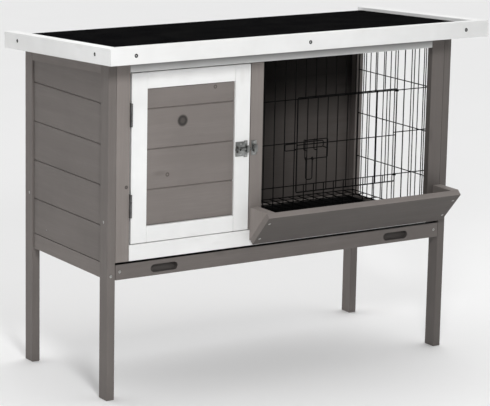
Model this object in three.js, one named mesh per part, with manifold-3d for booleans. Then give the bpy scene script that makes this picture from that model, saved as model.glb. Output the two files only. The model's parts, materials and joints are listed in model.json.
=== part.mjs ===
// Rabbit hutch with a sloping lift-up roof, a boarded nest room, a wire-fronted run, a feeding
// trough and a pull-out tray. Millimetres, +X to the right seen from the front, +Y to the back,
// +Z up. The origin is on the ground, under the middle of the whole hutch.
import * as THREE from 'three';
import { mergeVertices } from 'three/addons/utils/BufferGeometryUtils.js';
import Module from 'manifold-3d';

const wasm = await Module();
wasm.setup();

// ---------------------------------------------------------------- driving dimensions
const WIDTH = 842; // outside the legs
const DEPTH = 350; // outside the legs
const LEG = { x: 18, y: 31 };
const GAP = 0.3; // between pieces that touch
const LEFT = -WIDTH / 2;
const RIGHT = WIDTH / 2;
const FRONT = -DEPTH / 2;
const BACK = DEPTH / 2;

// Roof: a deck with felt on it, boards on three sides, sloping down to the back
const ROOF_REST = 699; // height of the deck's underside over the front face
const ROOF_SLOPE = Math.atan(25 / 443);
const OVERHANG = { side: 39, front: 75, back: 18 };
const FASCIA = { thick: 24, high: 34, lip: 7 };
const DECK = 16;
const FELT = 2;
const FELT_BACK_INSET = 14; // the side fascias run this far past the deck

// Timber frame
const RAIL = 33; // face width of the rails
const FRAME = 16; // thickness of the front frame
const WALL = 12; // thickness of wall boards and side rails
const WALL_INSET = 4; // side walls lie this far inside the legs' outer faces
const BOARD_PITCH = 82;
const LOWEST_GROOVE = 356; // of the left wall and the back
const SILL = 284; // underside of the front frame
const FRAME_TOP = 665.4; // underside of the header
const STILE = 32;
const CENTRE = { x0: -88, x1: -58 };

// Main door
const DOOR = { x0: -368, x1: -90.3, z0: 318.8, z1: 663.6, thick: 18, stile: 36, rail: 33 };
const DOOR_BOARDS_TOP = 589; // top groove of the door boards

// Wires: bars of one gauge on a one-inch pitch
const WIRE = 2.4;
const WIRE_PITCH = 25.4;
const ROD_SIDES = 16;

// Tray
const TRAY = { z0: 248.4, z1: 280, front: 16, sheet: 2, wall: 24, travelClear: 3 };

// ---------------------------------------------------------------- materials
const paint = (color, roughness = 0.75, metalness = 0) =>
  new THREE.MeshStandardMaterial({ color, roughness, metalness });
const GREY = () => paint(0x7b7672);
const WHITE = () => paint(0xe9e9e6, 0.6);
const INSIDE_WOOD = () => paint(0x6b635d);
const FELT_BLACK = () => paint(0x2c2c2e, 0.95);
const BLACK_WIRE = () => paint(0x141414, 0.45, 0.4);
const BLACK_IRON = () => paint(0x1b1b1c, 0.5, 0.5);
const ZINC = () => paint(0x9a9c9c, 0.4, 0.9);
const TRAY_BLACK = () => paint(0x161617, 0.6);

// ---------------------------------------------------------------- solids
const hutch = new THREE.Group();

function place(parent, name, geometry, material) {
  const mesh = new THREE.Mesh(geometry, material);
  mesh.name = name;
  parent.add(mesh);
}

function block([x0, x1], [y0, y1], [z0, z1]) {
  const geometry = new THREE.BoxGeometry(x1 - x0, y1 - y0, z1 - z0);
  return geometry.translate((x0 + x1) / 2, (y0 + y1) / 2, (z0 + z1) / 2);
}

// A prism with its outline in the YZ, XZ or XY plane, from one end of its axis to the other
function prism(axis, outline, from, to) {
  const shape = new THREE.Shape(outline.map(([u, v]) => new THREE.Vector2(u, v)));
  const geometry = new THREE.ExtrudeGeometry(shape, { depth: to - from, bevelEnabled: false });
  geometry.translate(0, 0, from);
  const basis = {
    x: [[0, 1, 0], [0, 0, 1], [1, 0, 0]],
    y: [[-1, 0, 0], [0, 0, 1], [0, 1, 0]],
    z: [[1, 0, 0], [0, 1, 0], [0, 0, 1]],
  }[axis];
  const columns = basis.map((column) => new THREE.Vector3(...column));
  return geometry.applyMatrix4(new THREE.Matrix4().makeBasis(...columns));
}

// Outlines in the XZ plane are given with +X to the right, and prism('y') mirrors them
const xz = (list) => list.map(([x, z]) => [-x, z]);

// A round bar along one axis, through a point
function rod(axis, [a, b, c], radius, from, to) {
  const geometry = new THREE.CylinderGeometry(radius, radius, to - from, ROD_SIDES);
  if (axis === 'x') geometry.rotateZ(-Math.PI / 2);
  if (axis === 'z') geometry.rotateX(Math.PI / 2);
  const middle = (from + to) / 2;
  return geometry.translate(axis === 'x' ? middle : a, axis === 'y' ? middle : b, axis === 'z' ? middle : c);
}

function toManifold(geometry) {
  const bare = geometry.clone();
  bare.deleteAttribute('normal');
  bare.deleteAttribute('uv');
  const merged = mergeVertices(bare, 1e-4);
  const mesh = new wasm.Mesh({
    numProp: 3,
    vertProperties: new Float32Array(merged.attributes.position.array),
    triVerts: new Uint32Array(merged.index.array),
  });
  return new wasm.Manifold(mesh);
}

function toGeometry(manifold) {
  const mesh = manifold.getMesh();
  const geometry = new THREE.BufferGeometry();
  geometry.setAttribute('position', new THREE.BufferAttribute(new Float32Array(mesh.vertProperties), 3));
  geometry.setIndex(new THREE.BufferAttribute(new Uint32Array(mesh.triVerts), 1));
  return geometry;
}

const join = (...parts) => toGeometry(parts.map(toManifold).reduce((sum, part) => sum.add(part)));
const cut = (body, ...tools) =>
  toGeometry(tools.map(toManifold).reduce((rest, tool) => rest.subtract(tool), toManifold(body)));

// ---------------------------------------------------------------- slope of the roof
const slopeDrop = (y) => (y - FRONT) * Math.tan(ROOF_SLOPE);
const underRoof = (y, below = 0) => ROOF_REST - below - slopeDrop(y);

// Everything above the slope, lowered by `below`, as a tool that trims what stands under it
function aboveSlope(below) {
  const reach = WIDTH;
  const edge = (y) => [y, underRoof(y, below)];
  return prism('x', [edge(-reach), edge(reach), [reach, 2 * reach], [-reach, 2 * reach]], -reach, reach);
}
const trimmed = (geometry, below = GAP) => cut(geometry, aboveSlope(below));

// ---------------------------------------------------------------- legs and rails
function legs() {
  const sides = { left: [LEFT, LEFT + LEG.x], right: [RIGHT - LEG.x, RIGHT] };
  const ends = { front: [FRONT, FRONT + LEG.y], back: [BACK - LEG.y, BACK] };
  for (const [end, spanY] of Object.entries(ends)) {
    for (const [side, spanX] of Object.entries(sides)) {
      place(hutch, `leg_${end}_${side}`, trimmed(block(spanX, spanY, [0, ROOF_REST])), GREY());
    }
  }
}

const BETWEEN_LEGS_Y = [FRONT + LEG.y + GAP, BACK - LEG.y - GAP];
const BETWEEN_LEGS_X = [LEFT + LEG.x + GAP, RIGHT - LEG.x - GAP];
const SIDE_OUT = RIGHT - WALL_INSET;
const SIDE_IN = SIDE_OUT - WALL;

// A side's bottom rail has a ledge along its inner foot that carries the tray
function sideRails(side, sign) {
  const ledge = { reach: 14, high: 4 };
  const outline = [
    [SIDE_OUT, TRAY.z0], [SIDE_OUT, TRAY.z1], [SIDE_IN, TRAY.z1],
    [SIDE_IN, TRAY.z0 + ledge.high], [SIDE_IN - ledge.reach, TRAY.z0 + ledge.high],
    [SIDE_IN - ledge.reach, TRAY.z0],
  ].map(([x, z]) => [sign * x, z]);
  place(hutch, `${side}_bottom_rail`, prism('y', xz(outline), ...BETWEEN_LEGS_Y), GREY());
  // The top rail is flush with the legs, so it stands out over the boards
  const spanX = [sign * SIDE_IN, sign * RIGHT].sort((a, b) => a - b);
  const lower = (y) => [y, underRoof(y, RAIL + 1)];
  const upper = (y) => [y, underRoof(y, GAP)];
  const [y0, y1] = BETWEEN_LEGS_Y;
  const top = prism('x', [lower(y0), lower(y1), upper(y1), upper(y0)], ...spanX);
  place(hutch, `${side}_top_rail`, top, GREY());
}

// ---------------------------------------------------------------- tongue-and-groove boards
// Section of one board: u runs from the outer face inwards, v upwards. The outer edges are
// chamfered, so that two boards meet in a V.
function boardSection(height, { groove, tongue, thick = WALL }) {
  const chamfer = 2;
  const key = { thick: 3.4, high: 4 };
  const middle = thick / 2;
  const slack = 0.4;
  const points = [[0, chamfer], [0, height - chamfer], [chamfer, height]];
  if (tongue) {
    const [near, far] = [middle - key.thick / 2, middle + key.thick / 2];
    points.push([near, height], [near, height + key.high], [far, height + key.high], [far, height]);
  }
  points.push([thick, height], [thick, 0]);
  if (groove) {
    const [near, far] = [middle - key.thick / 2 - slack, middle + key.thick / 2 + slack];
    points.push([far, 0], [far, key.high + slack], [near, key.high + slack], [near, 0]);
  }
  points.push([chamfer, 0]);
  return points.reverse();
}

// Bottom edge of each board between two heights, with whole boards in the middle
function boardEdges(bottom, top, firstGroove) {
  const edges = [bottom];
  for (let z = firstGroove; z < top - BOARD_PITCH / 4; z += BOARD_PITCH) edges.push(z);
  return [...edges, top];
}

function leftWall() {
  const edges = boardEdges(TRAY.z1 + GAP, ROOF_REST - RAIL - 1, LOWEST_GROOVE);
  for (let i = 0; i < edges.length - 1; i += 1) {
    const last = i === edges.length - 2;
    const section = boardSection(edges[i + 1] - edges[i] - GAP, { groove: i > 0, tongue: !last });
    const outline = section.map(([u, v]) => [-SIDE_OUT + u, edges[i] + v]);
    const board = prism('y', xz(outline), ...BETWEEN_LEGS_Y);
    place(hutch, `left_board_${i + 1}`, last ? trimmed(board, RAIL + 1 + GAP) : board, GREY());
  }
}

// The back is one boarded panel with V grooves on its outer face
function backWall() {
  const outer = BACK - 2;
  const bottom = TRAY.z1 + GAP;
  const top = underRoof(outer, RAIL + GAP);
  const groove = 2;
  const outline = [[outer - WALL, bottom], [outer, bottom]];
  for (let z = LOWEST_GROOVE; z < top - BOARD_PITCH / 4; z += BOARD_PITCH) {
    outline.push([outer, z - groove], [outer - groove, z], [outer, z + groove]);
  }
  outline.push([outer, top], [outer - WALL, top]);
  place(hutch, 'back_wall', prism('x', outline, ...BETWEEN_LEGS_X), GREY());
  const rail = [outer - FRAME, outer];
  place(hutch, 'back_bottom_rail', block(BETWEEN_LEGS_X, rail, [TRAY.z0, TRAY.z1]), GREY());
  const topRail = block(BETWEEN_LEGS_X, rail, [top + GAP, ROOF_REST]);
  place(hutch, 'back_top_rail', trimmed(topRail), GREY());
}

// ---------------------------------------------------------------- front frame
const FRONT_SPAN = [FRONT, FRONT + FRAME];
const STILE_IN = RIGHT - LEG.x - GAP - STILE; // inner edge of the right stile

function frontFrame() {
  const [xLeft, xRight] = BETWEEN_LEGS_X;
  const inner = [xLeft + STILE - 1, STILE_IN];
  place(hutch, 'stile_left', trimmed(block([xLeft, inner[0]], FRONT_SPAN, [SILL, ROOF_REST])), GREY());
  place(hutch, 'stile_right', trimmed(block([inner[1], xRight], FRONT_SPAN, [SILL, ROOF_REST])), GREY());
  const between = [inner[0] + GAP, inner[1] - GAP];
  place(hutch, 'front_bottom_rail', block(between, FRONT_SPAN, [SILL, SILL + RAIL]), WHITE());
  place(hutch, 'header_rail', trimmed(block(between, FRONT_SPAN, [FRAME_TOP, ROOF_REST])), WHITE());
  const middle = [SILL + RAIL + GAP, FRAME_TOP - GAP];
  place(hutch, 'stile_centre', block([CENTRE.x0, CENTRE.x1], FRONT_SPAN, middle), GREY());
}

// ---------------------------------------------------------------- inside
const FLOOR_TOP = SILL + 10;
const PARTITION = { x0: -97, x1: -85 };

function inside() {
  const back = BACK - 2 - FRAME - GAP;
  const front = FRONT + FRAME + GAP;
  place(hutch, 'nest_floor', block([-SIDE_IN + GAP, PARTITION.x1], [FRONT + LEG.y + GAP, BACK - LEG.y - GAP],
    [SILL, FLOOR_TOP]), INSIDE_WOOD());

  // The partition stands on the floor, with an arched doorway towards the back
  const [y0, y1] = [front + 2.5, back];
  const door = { y0: -10, y1: 130, spring: 430 };
  const middle = (door.y0 + door.y1) / 2;
  const radius = (door.y1 - door.y0) / 2;
  const arch = [];
  for (let i = 0; i <= 12; i += 1) {
    const angle = Math.PI * (1 - i / 12);
    arch.push([middle + radius * Math.cos(angle), door.spring + radius * Math.sin(angle)]);
  }
  const outline = [[y0, FLOOR_TOP + GAP], [door.y0, FLOOR_TOP + GAP], ...arch, [door.y1, FLOOR_TOP + GAP],
    [y1, FLOOR_TOP + GAP], [y1, ROOF_REST], [y0, ROOF_REST]];
  place(hutch, 'partition', trimmed(prism('x', outline, PARTITION.x0, PARTITION.x1), 1), INSIDE_WOOD());
}

// ---------------------------------------------------------------- wire panels
const inRange = (value, [low, high]) => value > low && value < high;

// A flat grid of bars as a prism along `axis`: columns and rows are the bars' centre lines, and
// `opening` is a rectangle of centre lines with nothing inside it. `top` trims the last row of
// windows and the outline where the grid's upper edge slopes.
function grid(axis, columns, rows, [from, to], opening, top = () => rows[rows.length - 1]) {
  const half = WIRE / 2;
  const place2d = axis === 'y' ? xz : (list) => list;
  const window = (u, low, high) => {
    const outline = [[u[0], low(u[0])], [u[1], low(u[1])], [u[1], high(u[1])], [u[0], high(u[0])]];
    return prism(axis, place2d(outline), from - 1, to + 1);
  };
  const ends = [columns[0] - half, columns[columns.length - 1] + half];
  const outline = [[ends[0], rows[0] - half], [ends[1], rows[0] - half],
    [ends[1], top(ends[1]) + half], [ends[0], top(ends[0]) + half]];
  const windows = [];
  if (opening) {
    const [[u0, u1], [v0, v1]] = opening;
    windows.push(window([u0 + half, u1 - half], () => v0 + half, () => v1 - half));
  }
  for (let i = 0; i < columns.length - 1; i += 1) {
    for (let j = 0; j < rows.length - 1; j += 1) {
      const middle = [(columns[i] + columns[i + 1]) / 2, (rows[j] + rows[j + 1]) / 2];
      if (opening && inRange(middle[0], opening[0]) && inRange(middle[1], opening[1])) continue;
      const high = j === rows.length - 2 ? top : () => rows[j + 1];
      windows.push(window([columns[i] + half, columns[i + 1] - half],
        () => rows[j] + half, (u) => high(u) - half));
    }
  }
  return cut(prism(axis, place2d(outline), from, to), ...windows);
}

const series = (start, pitch, count) => Array.from({ length: count }, (_, i) => start + i * pitch);

const PANEL_Y = [FRONT + FRAME + 0.4, FRONT + FRAME + 0.4 + WIRE];
const PANEL_COLUMNS = series(-68.5, WIRE_PITCH, 19);
const PANEL_ROWS = series(304, 91, 5);
const OPENING = [[PANEL_COLUMNS[4], PANEL_COLUMNS[14]], [PANEL_ROWS[1], PANEL_ROWS[3]]];

// Wire door: it lies on the outside of the opening and laps over all four of its edges
const WIRE_DOOR_GAP = 2.2; // between the panel and the closed wire door
const WIRE_DOOR_Y = [PANEL_Y[0] - WIRE_DOOR_GAP - WIRE, PANEL_Y[0] - WIRE_DOOR_GAP];
const WIRE_DOOR_COLUMNS = series(36.4, 25.33, 11);
const WIRE_DOOR_ROWS = [381, 481.4, 580.6];
const HINGE_ROD = WIRE_DOOR_COLUMNS[10];
const HINGE_ROD_Y = (WIRE_DOOR_Y[0] + WIRE_DOOR_Y[1]) / 2;

// An eye of the front panel that holds the wire door's hinge rod
function hingeEye(z) {
  const eye = { inner: 2.3, outer: 4.2, half: 2 };
  const axis = [HINGE_ROD, HINGE_ROD_Y, 0];
  return cut(rod('z', axis, eye.outer, z - eye.half, z + eye.half),
    rod('z', axis, eye.inner, z - 2 * eye.half, z + 2 * eye.half));
}

function frontWirePanel() {
  const wires = grid('y', PANEL_COLUMNS, PANEL_ROWS, PANEL_Y, OPENING);
  const panel = join(wires, hingeEye(PANEL_ROWS[1] - 1), hingeEye(PANEL_ROWS[3] - 1));
  place(hutch, 'front_wire_panel', panel, BLACK_WIRE());

  // Two short rods across the panel's edge wires, where the wire bolt bears behind them
  const y = [PANEL_Y[0] - GAP - WIRE, PANEL_Y[0] - GAP];
  const ends = [PANEL_COLUMNS[3] - WIRE / 2, PANEL_COLUMNS[4] + WIRE / 2];
  const bars = BOLT.rows.map((z) => block(ends, y, [z - WIRE / 2, z + WIRE / 2]));
  const tie = block([ends[0], ends[0] + WIRE], y, [BOLT.rows[0], BOLT.rows[1]]);
  place(hutch, 'bolt_bearing', join(...bars, tie), BLACK_WIRE());
}

function sideWirePanel() {
  const x0 = SIDE_OUT - 8;
  const span = BETWEEN_LEGS_Y.map((y, i) => y + (i ? -1 : 1) * WIRE / 2);
  const columns = [span[0], ...series(-128.6, WIRE_PITCH, 11), span[1]];
  const rows = [TRAY.z1 + GAP + WIRE / 2, ...series(371, 99, 3), 650];
  const top = (y) => underRoof(y, RAIL + 1 + GAP + WIRE / 2);
  place(hutch, 'side_wire_panel', grid('x', columns, rows, [x0, x0 + WIRE], null, top), BLACK_WIRE());
}

function runFloor() {
  const columns = series(PARTITION.x1 + GAP + WIRE, WIRE_PITCH, 20);
  const rows = series(FRONT + LEG.y + 2, 2 * WIRE_PITCH - 3.5, 7);
  const z = [FLOOR_TOP - WIRE, FLOOR_TOP];
  place(hutch, 'run_floor_mesh', grid('z', columns, rows, z), BLACK_WIRE());
}

// ---------------------------------------------------------------- wire door and its bolt
// The bolt is a hairpin behind the door's wires. One stud joins it, through the mesh, to the
// grip frame in front, from which a loop handle hangs.
const BOLT = { rows: [471, 484.5], tip: 36.9, stud: 108.7, y: PANEL_Y[1] + 1.4, frontY: -170 };
const GRIP = { x0: 52, x1: BOLT.stud, z0: 451.5, z1: 491.5 };
const bar = (from, to) => [Math.min(from, to) - WIRE / 2, Math.max(from, to) + WIRE / 2];

function wireDoor() {
  const wires = grid('y', WIRE_DOOR_COLUMNS, WIRE_DOOR_ROWS, WIRE_DOOR_Y);
  // Staples on two upright wires carry the bolt behind the door
  const reach = BOLT.y + WIRE + 0.5;
  const [low, high] = [BOLT.rows[0] - 4, BOLT.rows[1] + 4];
  const staples = WIRE_DOOR_COLUMNS.slice(1, 3).flatMap((x) => [
    block(bar(x, x), [WIRE_DOOR_Y[0] + GAP, reach + WIRE], bar(low, low)),
    block(bar(x, x), [WIRE_DOOR_Y[0] + GAP, reach + WIRE], bar(high, high)),
    block(bar(x, x), [reach, reach + WIRE], bar(low, high)),
  ]);
  place(hutch, 'wire_door', join(wires, ...staples), BLACK_WIRE());
}

function wireBolt() {
  const back = [BOLT.y, BOLT.y + WIRE];
  const front = [BOLT.frontY, BOLT.frontY + WIRE];
  const prongs = BOLT.rows.map((z) => block([BOLT.tip, BOLT.stud], back, bar(z, z)));
  const bend = block(bar(BOLT.stud, BOLT.stud), back, bar(...BOLT.rows));
  const stud = block(bar(BOLT.stud, BOLT.stud), [front[0], back[1]], bar(BOLT.rows[0], BOLT.rows[0]));
  const { x0, x1, z0, z1 } = GRIP;
  const grip = [
    block(bar(x0, x1), front, bar(z0, z0)), block(bar(x0, x1), front, bar(z1, z1)),
    block(bar(x0, x0), front, bar(z0, z1)), block(bar(x1, x1), front, bar(z0, z1)),
  ];
  place(hutch, 'wire_bolt', join(...prongs, bend, stud, ...grip), BLACK_WIRE());

  // Loop handle: an eye on each leg turns on the grip frame's lower wire
  const legs = [55, 71];
  const low = 408;
  const eye = { inner: 2.2, outer: 4.1 };
  const axis = [0, (front[0] + front[1]) / 2, z0];
  const eyes = legs.map((x) => rod('x', axis, eye.outer, x - WIRE / 2, x + WIRE / 2));
  const bores = legs.map((x) => rod('x', axis, eye.inner, x - WIRE, x + WIRE));
  const uprights = legs.map((x) => block(bar(x, x), front, [low, z0 - eye.inner - 0.5]));
  const foot = block(bar(...legs), front, [low - WIRE / 2, low + WIRE / 2]);
  place(hutch, 'wire_bolt_handle', cut(join(...eyes, ...uprights, foot), ...bores), BLACK_WIRE());
}

// ---------------------------------------------------------------- feeding trough
function trough() {
  const span = [-86, 405];
  const cheek = 20;
  const thick = 13;
  const foot = [-187.5, 288.4]; // lower outer edge of the sloping board
  const rim = [-249, 356]; // upper outer edge
  const length = Math.hypot(rim[0] - foot[0], rim[1] - foot[1]);
  const along = [(rim[0] - foot[0]) / length, (rim[1] - foot[1]) / length];
  const inward = [along[1], -along[0]];
  const inner = ([y, z], depth) => [y + inward[0] * depth, z + inward[1] * depth];
  const board = [foot, inner(foot, thick), inner(rim, thick), rim];
  place(hutch, 'trough_board', prism('x', board, ...span), GREY());

  const wall = FRONT - GAP;
  const [footIn, rimIn] = [inner(foot, thick + GAP), inner(rim, thick + GAP)];
  const steep = along[1] / along[0];
  const outline = [rimIn, [wall, footIn[1] + (wall - footIn[0]) * steep], [wall, rimIn[1]]];
  place(hutch, 'trough_cheek_left', prism('x', outline, span[0], span[0] + cheek), GREY());
  place(hutch, 'trough_cheek_right', prism('x', outline, span[1] - cheek, span[1]), GREY());
}

// ---------------------------------------------------------------- main door
function mainDoor() {
  const y = [FRONT, FRONT + DOOR.thick];
  const [x0, x1] = [DOOR.x0 + DOOR.stile, DOOR.x1 - DOOR.stile];
  const z = [DOOR.z0, DOOR.z1];
  place(hutch, 'door_stile_hinge', block([DOOR.x0, x0 - GAP], y, z), WHITE());
  place(hutch, 'door_stile_latch', block([x1 + GAP, DOOR.x1], y, z), WHITE());
  place(hutch, 'door_rail_bottom', block([x0, x1], y, [DOOR.z0, DOOR.z0 + DOOR.rail]), WHITE());
  place(hutch, 'door_rail_top', block([x0, x1], y, [DOOR.z1 - DOOR.rail, DOOR.z1]), WHITE());

  const thick = 10;
  const face = FRONT + 4;
  const bottom = DOOR.z0 + DOOR.rail + GAP;
  const edges = boardEdges(bottom, DOOR.z1 - DOOR.rail, DOOR_BOARDS_TOP - 2 * BOARD_PITCH);
  for (let i = 0; i < edges.length - 1; i += 1) {
    const last = i === edges.length - 2;
    const section = boardSection(edges[i + 1] - edges[i] - GAP, { groove: i > 0, tongue: !last, thick });
    const outline = section.map(([u, v]) => [face + u, edges[i] + v]);
    place(hutch, `door_board_${i + 1}`, prism('x', outline, x0, x1), GREY());
  }
}

// Butt hinge: leaf, two outer knuckles and pin stay on one side, the middle knuckle and its
// leaf move. `toWorld` puts the hinge, made along Z with its leaves towards +Y, in its place.
const KNUCKLE = { radius: 2.4, pin: 1.1, bore: 1.35, leaf: 1.2, gap: 0.4 };

function hinge(length, leafFixed, leafMoving, toWorld) {
  const third = length / 3;
  const { radius, pin, bore, gap } = KNUCKLE;
  const outer = [[0, third - gap], [2 * third + gap, length]];
  const tab = (leaf, span) => block(leaf.tabX ?? leaf.x, leaf.tab, span);
  const knuckles = outer.map(([z0, z1]) => rod('z', [0, 0, 0], radius, z0, z1));
  const fixed = join(block(leafFixed.x, leafFixed.y, [0, length]), ...outer.map((z) => tab(leafFixed, z)),
    ...knuckles, rod('z', [0, 0, 0], pin, 0, length));
  const middle = [third, 2 * third];
  const moving = cut(join(block(leafMoving.x, leafMoving.y, [0, length]), tab(leafMoving, middle),
    rod('z', [0, 0, 0], radius, ...middle)), rod('z', [0, 0, 0], bore, -length, 2 * length));
  return [fixed, moving].map((geometry) => geometry.applyMatrix4(toWorld));
}

// The door's hinge axis stands in front of the slit between the door and the stile
const DOOR_SLIT = 1.65; // from the axis to the door's edge
const DOOR_AXIS = { x: DOOR.x0 - DOOR_SLIT, y: FRONT - KNUCKLE.radius - GAP };
const DOOR_HINGES = { length: 47, lower: 373, upper: 557 };

function doorHinges() {
  const stileEdge = STILE - 1 + BETWEEN_LEGS_X[0] - DOOR_AXIS.x + 0.1;
  const doorEdge = DOOR_SLIT - 0.1;
  const inFrame = [KNUCKLE.radius + GAP + 0.2, KNUCKLE.radius + FRAME];
  const tab = [0, inFrame[1]];
  const leafFixed = { x: [stileEdge, stileEdge + KNUCKLE.leaf], y: inFrame, tab };
  const leafMoving = { x: [doorEdge - KNUCKLE.leaf, doorEdge], y: inFrame, tab };
  for (const name of ['lower', 'upper']) {
    const toWorld = new THREE.Matrix4().makeTranslation(DOOR_AXIS.x, DOOR_AXIS.y, DOOR_HINGES[name]);
    const [fixed, moving] = hinge(DOOR_HINGES.length, leafFixed, leafMoving, toWorld);
    place(hutch, `door_hinge_${name}_fixed_leaf`, fixed, BLACK_IRON());
    place(hutch, `door_hinge_${name}_moving_leaf`, moving, BLACK_IRON());
  }
}

// ---------------------------------------------------------------- main door's latch
const LATCH = { z: 489.5, radius: 3, plate: 1.5, x0: -124, x1: -96, half: 15, bridge: 7 };
const LATCH_Y = FRONT - LATCH.plate - 3.8; // axis of the bolt

// A bridge over the bolt, standing on its plate
function bridge(x) {
  return block(x, [LATCH_Y - 5, FRONT - GAP - 0.2], [LATCH.z - LATCH.bridge, LATCH.z + LATCH.bridge]);
}

// The door's straps have a round bore for the bolt
function strap([x0, x1]) {
  const bore = rod('x', [0, LATCH_Y, LATCH.z], LATCH.radius + 0.4, x0 - 1, x1 + 1);
  return cut(bridge([x0, x1]), bore);
}

// The keeper's staple has a square passage for it
function staple([x0, x1]) {
  const play = LATCH.radius + 0.5;
  const passageY = [LATCH_Y - play, LATCH_Y + play - 0.2];
  return cut(bridge([x0, x1]), block([x0 - 1, x1 + 1], passageY, [LATCH.z - play, LATCH.z + play]));
}

function latch() {
  const faceY = [FRONT - GAP - LATCH.plate, FRONT - GAP];
  const plate = block([LATCH.x0, LATCH.x1], faceY, [LATCH.z - LATCH.half, LATCH.z + LATCH.half]);
  const straps = [strap([LATCH.x0 + 1, LATCH.x0 + 5]), strap([LATCH.x1 - 5, LATCH.x1])];
  const edge = block([LATCH.x1 - 8, LATCH.x1], [faceY[0] - 0.2, faceY[1]],
    [LATCH.z - LATCH.half - 2.5, LATCH.z + LATCH.half + 1.5]);
  place(hutch, 'latch_plate', join(plate, edge, ...straps), ZINC());

  const shaft = rod('x', [0, LATCH_Y, LATCH.z], LATCH.radius, LATCH.x0 - 2, LATCH.x1 + 5);
  const knob = rod('y', [LATCH.x0 + 7.5, 0, LATCH.z], 1.8, LATCH_Y - 9, LATCH_Y);
  place(hutch, 'latch_bolt', join(shaft, knob), ZINC());

  const keeperX = [CENTRE.x0 + 2, CENTRE.x0 + 14];
  const keeperPlate = block(keeperX, faceY, [LATCH.z - LATCH.half, LATCH.z + LATCH.half]);
  const keeperStaple = staple([keeperX[0] + 2, keeperX[1] - 2]);
  place(hutch, 'latch_keeper', join(keeperPlate, keeperStaple), ZINC());
}

// ---------------------------------------------------------------- tray
// Outline of a slot with round ends, along X
function slotOutline(x, z, length, high) {
  const radius = high / 2;
  const reach = length / 2 - radius;
  const points = [];
  for (const [side, start] of [[1, -Math.PI / 2], [-1, Math.PI / 2]]) {
    for (let i = 0; i <= 8; i += 1) {
      const angle = start + (Math.PI * i) / 8;
      points.push([x + side * reach + radius * Math.cos(angle), z + radius * Math.sin(angle)]);
    }
  }
  return points;
}

function tray() {
  const [x0, x1] = [BETWEEN_LEGS_X[0] + 0.7, BETWEEN_LEGS_X[1] - 0.7];
  const pull = { x: 289, z: 263, length: 63, high: 16.5, deep: 12 };
  const pulls = [-pull.x, pull.x].map((x) =>
    prism('y', slotOutline(x, pull.z, pull.length, pull.high), FRONT - 1, FRONT + pull.deep));
  const front = cut(block([x0, x1], [FRONT, FRONT + TRAY.front], [TRAY.z0, TRAY.z1]), ...pulls);
  place(hutch, 'tray_front', front, GREY());

  const half = BETWEEN_LEGS_X[1] - TRAY.travelClear;
  const pan = [FRONT + TRAY.front + GAP, BACK - 26];
  const floor = TRAY.z0 + 4 + GAP;
  const shell = block([-half, half], pan, [floor, floor + TRAY.wall]);
  const hollow = block([-half + TRAY.sheet, half - TRAY.sheet], [pan[0] + TRAY.sheet, pan[1] - TRAY.sheet],
    [floor + TRAY.sheet, floor + 2 * TRAY.wall]);
  place(hutch, 'tray_pan', cut(shell, hollow), TRAY_BLACK());
}

// ---------------------------------------------------------------- roof
// The roof's group lies on the slope: its local Y runs down to the back and Z = 0 is the
// deck's underside
function roof() {
  const group = new THREE.Group();
  group.position.set(0, FRONT, ROOF_REST);
  group.rotation.x = -ROOF_SLOPE;
  hutch.add(group);

  const half = RIGHT + OVERHANG.side;
  const inner = half - FASCIA.thick - GAP;
  const span = { front: -OVERHANG.front, back: DEPTH + OVERHANG.back };
  const deckY = [span.front + FASCIA.thick + GAP, span.back - FELT_BACK_INSET];
  place(group, 'roof_deck', block([-inner, inner], deckY, [0, DECK]), INSIDE_WOOD());
  const felt = [DECK + GAP, DECK + GAP + FELT];
  place(group, 'roof_felt', block([-inner, inner], deckY, felt), FELT_BLACK());

  const top = felt[1] + FASCIA.lip;
  const high = [top - FASCIA.high, top];
  const mitre = GAP / Math.SQRT2;
  const [outer, inside] = [span.front, span.front + FASCIA.thick];
  const front = [[-half + mitre, outer], [half - mitre, outer],
    [half - FASCIA.thick - mitre, inside], [-half + FASCIA.thick + mitre, inside]];
  place(group, 'fascia_front', prism('z', front, ...high), WHITE());
  const right = [[half, outer + mitre], [half, span.back], [half - FASCIA.thick, span.back],
    [half - FASCIA.thick, inside + mitre]];
  const left = right.map(([x, y]) => [-x, y]).reverse();
  place(group, 'fascia_left', prism('z', left, ...high), WHITE());
  place(group, 'fascia_right', prism('z', right, ...high), WHITE());
  return { deckBack: deckY[1] };
}

const ROOF_HINGES = { length: 50, left: -280, right: 230 };

// Roof hinges: the fixed leaf on the back rail, the moving leaf on the deck's back edge
function roofHinges(deckBack) {
  const axisY = FRONT + deckBack * Math.cos(ROOF_SLOPE) + 0.5;
  const axisZ = underRoof(axisY, KNUCKLE.radius + 0.8);
  const railFace = axisY - (BACK - 2);
  const onRail = [-railFace + GAP, -railFace + GAP + KNUCKLE.leaf];
  const fixed = { x: onRail, y: [-22, -2], tabX: [onRail[0], 0], tab: [-2 - 2 * KNUCKLE.leaf, -2] };
  const moving = { x: [0.3, 0.3 + KNUCKLE.leaf], y: [KNUCKLE.radius + 0.6, 17],
    tab: [0, KNUCKLE.radius + 2] };
  // Hinge frame: its Z along the row's X, its X to the back, its Y up
  const turn = new THREE.Matrix4().makeBasis(
    new THREE.Vector3(0, 1, 0), new THREE.Vector3(0, 0, 1), new THREE.Vector3(1, 0, 0));
  for (const name of ['left', 'right']) {
    const toWorld = new THREE.Matrix4().makeTranslation(ROOF_HINGES[name], axisY, axisZ).multiply(turn);
    const [leaf, flap] = hinge(ROOF_HINGES.length, fixed, moving, toWorld);
    place(hutch, `roof_hinge_${name}_fixed_leaf`, leaf, BLACK_IRON());
    place(hutch, `roof_hinge_${name}_moving_leaf`, flap, BLACK_IRON());
  }
}

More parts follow.
